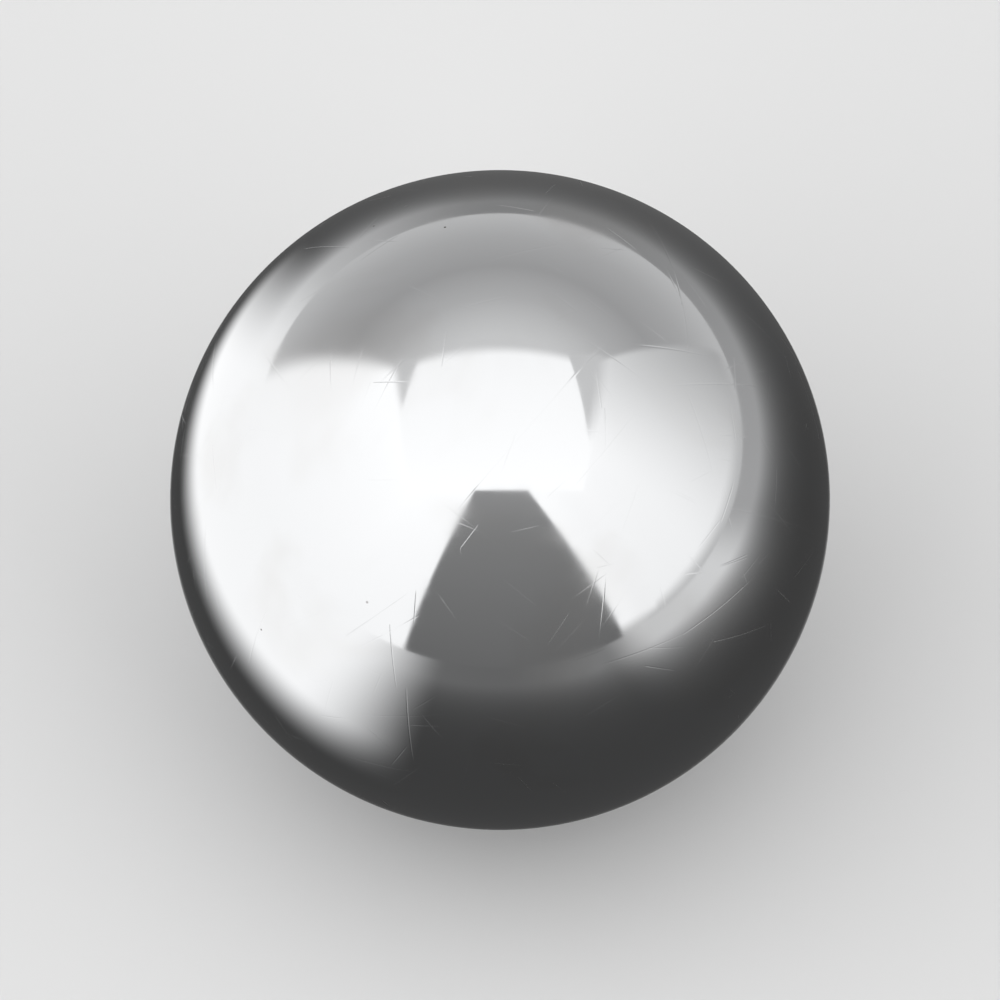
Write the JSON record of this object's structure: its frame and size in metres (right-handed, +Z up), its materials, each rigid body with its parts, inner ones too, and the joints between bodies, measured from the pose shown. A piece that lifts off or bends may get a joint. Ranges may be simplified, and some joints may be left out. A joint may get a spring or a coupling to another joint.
{
  "type": "steel ball",
  "caption": "Solid polished steel ball that rolls, spaces or carries load between a race, cup or groove.",
  "frame": {"origin": "centre of the ball", "axes": "+Z up, away from the surface that the ball touches; X and Y are free, because the ball is the same all round"},
  "size_m": [0.008, 0.008, 0.008],
  "materials": {
    "polished_steel": "polished"
  },
  "bodies": {
    "root": {"ball": "polished_steel"}
  },
  "joints": []
}
